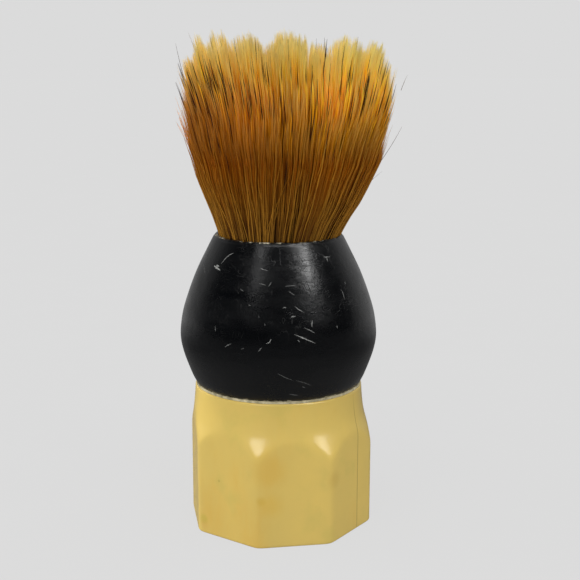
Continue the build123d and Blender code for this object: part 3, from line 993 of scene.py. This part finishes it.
def cream_paint():
    mat = Paint("cream_resin")
    coords = mat.coords()
    x, y, z = mat.axes(coords)
    cloud = mat.noise(mat.scaled(coords, (1, 1, 0.8)), scale=62, detail=4, rough=0.6)
    patchy = mat.noise(coords, scale=140, detail=3, rough=0.5)
    moved = mat.scaled(coords, (1.6, 1, 0.5), (4, 2, 9))
    swirl = mat.noise(moved, scale=48, detail=5, rough=0.6)
    cloudy = mat.remap(cloud, span=(0.32, 0.68))
    base = mat.mix(cloudy, srgb(212, 184, 100), srgb(222, 192, 102))
    swirled = mat.remap(swirl, span=(0.5, 0.72), to=(0, 0.55), smooth=True)
    base = mat.mix(swirled, base, srgb(216, 172, 76))
    patched = mat.remap(patchy, span=(0.55, 0.75), to=(0, 0.35), smooth=True)
    base = mat.mix(patched, base, srgb(196, 178, 92))
    # witness line, both sides
    seam = foot_point(*SEAM_AT)
    turn = math.atan2(seam[1], seam[0])
    side = mat.add(mat.times(x, -math.sin(turn)), mat.times(y, math.cos(turn)))
    off = mat.math("ABSOLUTE", side)
    groove = mat.remap(off, span=(0.00006, 0.00016), to=(1, 0), smooth=True)
    body = mat.remap(z, span=(0.0285, 0.0240), to=(0.25, 1.0), smooth=True)
    groove = mat.times(groove, body)
    base = mat.mix(mat.times(groove, 0.55), base, srgb(150, 126, 66))
    for place, size, color, strength in STAINS:
        distance = mat.measure("DISTANCE", coords, foot_point(*place))
        ragged = mat.remap(patchy, span=(0, 1), to=(-size * 0.4, size * 0.4))
        near = mat.add(distance, ragged)
        spot = mat.remap(near, span=(size * 0.2, size), to=(strength, 0), smooth=True)
        base = mat.mix(spot, base, color)
    fine = mat.noise(coords, scale=1500, detail=3, rough=0.6)
    rough = mat.remap(mat.noise(coords, scale=400, detail=3), to=(0.14, 0.22))
    mat.set(Base_Color=base, Roughness=rough, Specular_IOR_Level=0.5)
    height = mat.math("SUBTRACT", mat.times(fine, 0.02), groove)
    grain = mat.bump(height, strength=0.5, distance=0.0001)
    wide = mat.noise(coords, scale=90, detail=2)
    mat.set(Normal=mat.bump(wide, strength=0.2, distance=0.0005, normal=grain))
    return mat


# ---------------------------------------------------------------- marks on the collar
# width in mm, brightness 0-1, stations along the ribbon, sheet points in mm
MARKS = [
    (0.26, 0.75, 26, [(-9.32, 56.98), (-10.26, 56.52), (-10.99, 55.82), (-11.83, 54.74)]),
    (0.62, 0.95, 11, [(-13.36, 54.24), (-12.70, 53.77), (-12.12, 53.35)]),
    (0.50, 0.8, 6, [(-12.88, 54.41), (-12.32, 54.15)]),
    (0.16, 0.45, 15, [(-15.56, 54.55), (-15.45, 53.60), (-15.21, 52.54)]),
    (0.20, 0.62, 12, [(-3.77, 53.77), (-3.10, 53.48), (-2.27, 53.24)]),
    (0.20, 0.6, 10, [(-4.01, 50.55), (-3.30, 50.33), (-2.63, 50.19)]),
    (0.20, 0.55, 8, [(-2.05, 49.87), (-1.46, 50.80)]),
    (0.16, 0.45, 6, [(-7.98, 49.36), (-7.27, 48.89)]),
    (0.24, 0.4, 6, [(-6.31, 45.91), (-5.78, 45.83)]),
    (0.26, 0.55, 6, [(0.88, 45.23), (1.34, 45.42), (1.59, 45.29)]),
    (0.20, 0.4, 6, [(-2.88, 41.93), (-2.80, 41.37)]),
    (0.18, 0.4, 8, [(-13.28, 41.41), (-13.23, 40.22)]),
    (0.26, 0.6, 6, [(12.29, 41.50), (12.46, 40.94)]),
    (0.22, 0.5, 6, [(13.81, 50.93), (14.03, 50.42)]),
    (0.28, 0.6, 6, [(4.05, 38.38), (4.52, 37.99)]),
    (0.17, 0.5, 16, [(1.44, 49.91), (2.53, 50.04), (3.59, 50.14)]),
    (0.18, 0.5, 12, [(2.09, 48.93), (2.80, 48.42), (3.45, 47.99)]),
    (0.20, 0.62, 18, [(3.37, 45.66), (4.24, 44.95), (5.37, 44.28)]),
    (0.30, 0.7, 8, [(2.58, 43.27), (3.07, 43.44), (3.63, 43.53)]),
    (0.30, 0.62, 10, [(7.15, 42.60), (7.05, 41.85), (7.11, 41.15)]),
    (0.24, 0.62, 18, [(5.47, 41.00), (6.55, 40.50), (7.67, 39.88)]),
    (0.24, 0.95, 36, [(3.39, 39.55), (5.06, 38.90), (6.46, 38.25), (7.85, 37.64)]),
    (0.50, 1.0, 6, [(4.76, 39.05), (5.44, 38.68)]),
    (0.30, 0.75, 11, [(-1.52, 38.60), (-1.90, 37.86), (-2.58, 37.55)]),
    (0.18, 0.5, 9, [(-4.31, 35.81), (-3.51, 36.73)]),
    (0.26, 0.6, 10, [(-11.32, 36.90), (-10.03, 37.55)]),
    (0.20, 0.3, 6, [(-7.90, 36.38), (-7.31, 36.55)]),
    (0.20, 0.6, 16, [(13.12, 49.27), (13.55, 48.29), (13.84, 47.22)]),
    (0.34, 0.62, 10, [(9.39, 56.09), (10.74, 56.18)]),
    (0.30, 0.55, 6, [(10.05, 56.07), (10.25, 55.19)]),
    (0.30, 0.62, 7, [(4.87, 57.74), (5.14, 57.90), (5.44, 57.69), (5.35, 57.42)]),
    (0.18, 0.42, 27, [(-0.15, 31.03), (1.32, 30.24), (3.15, 29.47)]),
    (0.18, 0.42, 25, [(3.74, 29.54), (5.34, 29.05), (6.94, 28.48)]),
    (0.26, 0.5, 6, [(5.15, 28.17), (5.66, 27.90)]),
    (0.24, 0.5, 14, [(2.28, 26.53), (3.20, 26.35), (4.18, 26.22)]),
    (0.16, 0.35, 6, [(-4.18, 43.68), (-4.08, 43.14)]),
]


def build_marks():
    """Thin ribbons that lie on the collar where the lacquer is scratched off."""
    verts, faces, bright = [], [], []
    for width, light, stations, path in MARKS:
        corners = np.arange(len(path))
        along = np.linspace(0, len(path) - 1, stations)
        across, up = (np.interp(along, corners, column) for column in np.array(path).T)
        points = [collar_point(*place) for place in zip(across, up)]
        base = len(verts)
        last = stations - 1
        for i, (place, normal) in enumerate(points):
            course = points[min(i + 1, last)][0] - points[max(i - 1, 0)][0]
            side = np.cross(normal, course)
            side /= np.linalg.norm(side) + 1e-9
            bulge = math.sin(math.pi * min(max(i / last, 0.04), 0.96))
            half = 0.36 * width * (0.25 + 0.75 * bulge) * rng.uniform(0.65, 1.25)
            shift = rng.normal(0, 0.02)
            lift = normal * 0.014
            verts += [place + side * (half + shift) + lift, place - side * (half - shift) + lift]
            bright += [light, light]
        for a in range(base, base + 2 * last, 2):
            faces.append((a, a + 1, a + 3, a + 2))
    obj = new_mesh("scratches", verts, faces)
    layer = obj.data.attributes.new("mark_light", "FLOAT", "POINT")
    layer.data.foreach_set("value", np.array(bright, np.float32))
    return obj


def marks_paint():
    mat = Paint("bare_scratch")
    grain = mat.noise(mat.coords(), scale=2600, detail=3, rough=0.7)
    light = mat.attribute("mark_light")
    level = mat.times(light, mat.remap(grain, to=(0.45, 1.15)))
    color = mat.mix(level, srgb(12, 13, 15), srgb(150, 151, 148))
    mat.set(Base_Color=color, Roughness=mat.remap(grain, to=(0.45, 0.7)))
    mat.set(Normal=mat.bump(grain, strength=0.4, distance=0.00003))
    return mat


# ---------------------------------------------------------------- materials of the inner parts
def plain_paint(name, dark, light, rough, metal=0.0, scale=900, bump=0.3, stretch=(1, 1, 1)):
    """A two-tone material with grain in colour, roughness and relief."""
    mat = Paint(name)
    grain = mat.noise(mat.scaled(mat.coords(), stretch), scale=scale, detail=4, rough=0.6)
    mat.set(
        Base_Color=mat.mix(mat.remap(grain), srgb(*dark), srgb(*light)),
        Roughness=mat.remap(grain, to=(rough - 0.08, rough + 0.08)),
        Metallic=metal,
        Normal=mat.bump(grain, strength=bump, distance=0.00008),
    )
    return mat


# frame node: material name, dark and light colour, roughness, and what else differs
INNER_PARTS = {
    "seam_washer": ("pale_fibre", (128, 118, 88), (226, 216, 178), 0.7, dict(scale=640)),
    "stud": (
        "brass_stud", (150, 112, 48), (206, 168, 86), 0.34,
        dict(metal=1.0, scale=700, stretch=(1, 1, 6)),
    ),
    "insert": (
        "brass_insert", (140, 106, 50), (198, 160, 84), 0.38,
        dict(metal=1.0, scale=800, stretch=(1, 1, 6)),
    ),
    "cement": ("cement", (52, 36, 20), (96, 66, 36), 0.75, dict(scale=1200)),
    "ferrule": (
        "tin_ferrule", (150, 150, 148), (200, 200, 198), 0.36,
        dict(metal=1.0, scale=600, bump=0.2, stretch=(1, 1, 8)),
    ),
    "plug": ("hard_rubber", (16, 14, 13), (38, 33, 30), 0.6, dict(scale=1100)),
    "cord": (
        "waxed_cord", (120, 104, 76), (176, 158, 120), 0.8,
        dict(scale=1800, bump=0.8, stretch=(1, 1, 3)),
    ),
    "peg": (
        "peg_wood", (140, 104, 62), (190, 152, 100), 0.7,
        dict(scale=900, bump=0.5, stretch=(4, 4, 0.5)),
    ),
}

scratches = build_marks()
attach(scratches, "collar")
coat(scratches, marks_paint())
hair = hair_paint()
for obj in (tuft_low, tuft_mid, *tuft_up):
    coat(obj, hair)
coat(collar_skin, black_paint())
coat(foot_skin, cream_paint())
inner_paints = {
    part: plain_paint(*look, **extras) for part, (*look, extras) in INNER_PARTS.items()
}
for part, paint in inner_paints.items():
    coat(nodes[part], paint)
for part in ("hair_set", "hair_root", "hair_core", *[f"hair_bundle_{i}" for i in range(1, 9)]):
    coat(nodes[part], hair)
coat(nodes["foot"], cream_paint())
coat(nodes["collar"], black_paint())

# ---------------------------------------------------------------- floor and world
GREY = srgb(219, 219, 219)


def floor_paint():
    """Paper that looks evenly pale to the camera and glows less into reflections."""
    mat = Paint("paper")
    mottle = mat.noise(mat.coords(), scale=40, detail=2)
    away = mat.measure("LENGTH", mat.coords())
    mirrored = mat.remap(away, span=(0.03, 0.16), to=(0.16, 0.03), smooth=True)
    back = mat.measure("DOT_PRODUCT", mat.coords(), -TO_CAM)
    behind = mat.remap(back, span=(0.03, 0.30), to=(0.0, 0.5), smooth=True)
    mirrored = mat.add(mirrored, behind)
    # what the lamps lose with distance, so that the paper stays even up to the horizon
    far = mat.math("POWER", mat.math("DIVIDE", away, 1.1), 2.0)
    far = mat.math("DIVIDE", far, mat.add(far, 1.0))
    even = mat.add(mat.times(far, 0.036), 0.932)
    mat.set(
        Base_Color=mat.mix(mat.remap(mottle), srgb(58, 58, 58), srgb(60, 60, 60)),
        Roughness=0.95,
        Specular_IOR_Level=0.0,
        Emission_Color=GREY,
        Emission_Strength=mat.by_ray(seen=even, shiny=mirrored, other=0.66),
    )
    return mat


FLOOR_HALF = 9e3
floor = new_mesh(
    "paper_floor",
    [(x * FLOOR_HALF, y * FLOOR_HALF, 0) for x, y in ((-1, -1), (1, -1), (1, 1), (-1, 1))],
    [(0, 1, 2, 3)],
)
coat(floor, floor_paint())


def build_world():
    """Reflections see a dark room in front and pale paper behind, stronger to the right."""
    world = bpy.data.worlds.new("studio")
    scene.world = world
    world.use_nodes = True
    sky = Nodes(world.node_tree)
    way = sky.node("ShaderNodeTexCoord").outputs["Generated"]
    back = sky.measure("DOT_PRODUCT", way, -TO_CAM)
    behind = sky.remap(back, span=(0.0, 0.60), smooth=True)
    right = sky.measure("DOT_PRODUCT", way, RIGHT)
    sideways = sky.remap(right, span=(-0.9, 0.9), to=(0.42, 0.62), smooth=True)
    mirrored = sky.add(sky.times(behind, sideways), 0.010)
    background = world.node_tree.nodes["Background"]
    background.inputs["Color"].default_value = GREY
    strength = sky.by_ray(seen=1.0, shiny=mirrored, other=0.80)
    sky.put(background.inputs["Strength"], strength)


build_world()

# ---------------------------------------------------------------- lights
LIGHT_AIM = Vector((0, 0, 0.05))
# name, degrees round to the right of the camera, degrees up, distance, width, height, watts,
# and whether it shows only in reflections (else only as diffuse light)
LIGHTS = [
    ("strip_left", -34, 50, 1.2, 0.17, 0.84, 1.2, True),
    ("strip_right", 50, 50, 1.2, 0.18, 0.84, 6.4, True),
    ("crown", 8, 68, 1.2, 0.80, 0.20, 1.6, True),
    ("top", 0, 74, 1.4, 1.2, 1.2, 13.0, False),
    ("key", -34, 26, 1.8, 1.6, 1.2, 6.8, False),
    ("fill", 62, 20, 1.8, 1.4, 1.2, 4.6, False),
    ("side", -88, 10, 1.8, 1.2, 1.2, 8.0, False),
    ("side_low", -130, 6, 1.8, 1.0, 1.0, 36.0, False),
    ("glint_left", -27, 14, 1.2, 0.38, 0.18, 1.15, True),
    ("glint_right", 56, 12, 1.2, 0.38, 0.18, 1.35, True),
]


def backwards(azimuth, rise):
    """Unit vector at an azimuth and rise, against which a light or camera looks."""
    flat = math.cos(rise)
    return Vector((math.sin(azimuth) * flat, -math.cos(azimuth) * flat, math.sin(rise)))


def soft_light(name, azimuth, rise, distance, width, height, watts, mirror_only):
    """An area light aimed at the brush."""
    back = backwards(VIEW_AZ + math.radians(azimuth), math.radians(rise))
    data = bpy.data.lights.new(name, "AREA")
    data.shape = "RECTANGLE"
    data.size, data.size_y = width, height
    data.energy = watts
    obj = bpy.data.objects.new(name, data)
    scene.collection.objects.link(obj)
    obj.location = LIGHT_AIM + back * distance
    obj.rotation_euler = (-back).to_track_quat("-Z", "Y").to_euler()
    obj.visible_glossy = mirror_only
    obj.visible_diffuse = not mirror_only
    return obj


lights = {row[0]: soft_light(*row) for row in LIGHTS}
foot_only = bpy.data.collections.new("foot_only")
foot_only.objects.link(foot_skin)
for name in ("glint_left", "glint_right", "side_low"):
    lights[name].light_linking.receiver_collection = foot_only

# ---------------------------------------------------------------- camera and render
cam_data = bpy.data.cameras.new("camera")
cam_data.sensor_width = 36.0
cam_data.lens = 68.126897
cam_data.shift_x = 0.02
cam_data.shift_y = -0.000689655
cam_data.clip_start = 0.01
camera = bpy.data.objects.new("camera", cam_data)
scene.collection.objects.link(camera)
camera.location = Vector(EYE * MM)
look = -backwards(VIEW_AZ, CAM_PITCH)
camera.rotation_euler = look.to_track_quat("-Z", "Y").to_euler()
scene.camera = camera
scene.view_settings.view_transform = "Standard"
scene.view_settings.look = "None"
# light has to pass on many times between pale hairs
scene.cycles.max_bounces = 14
scene.cycles.diffuse_bounces = 12
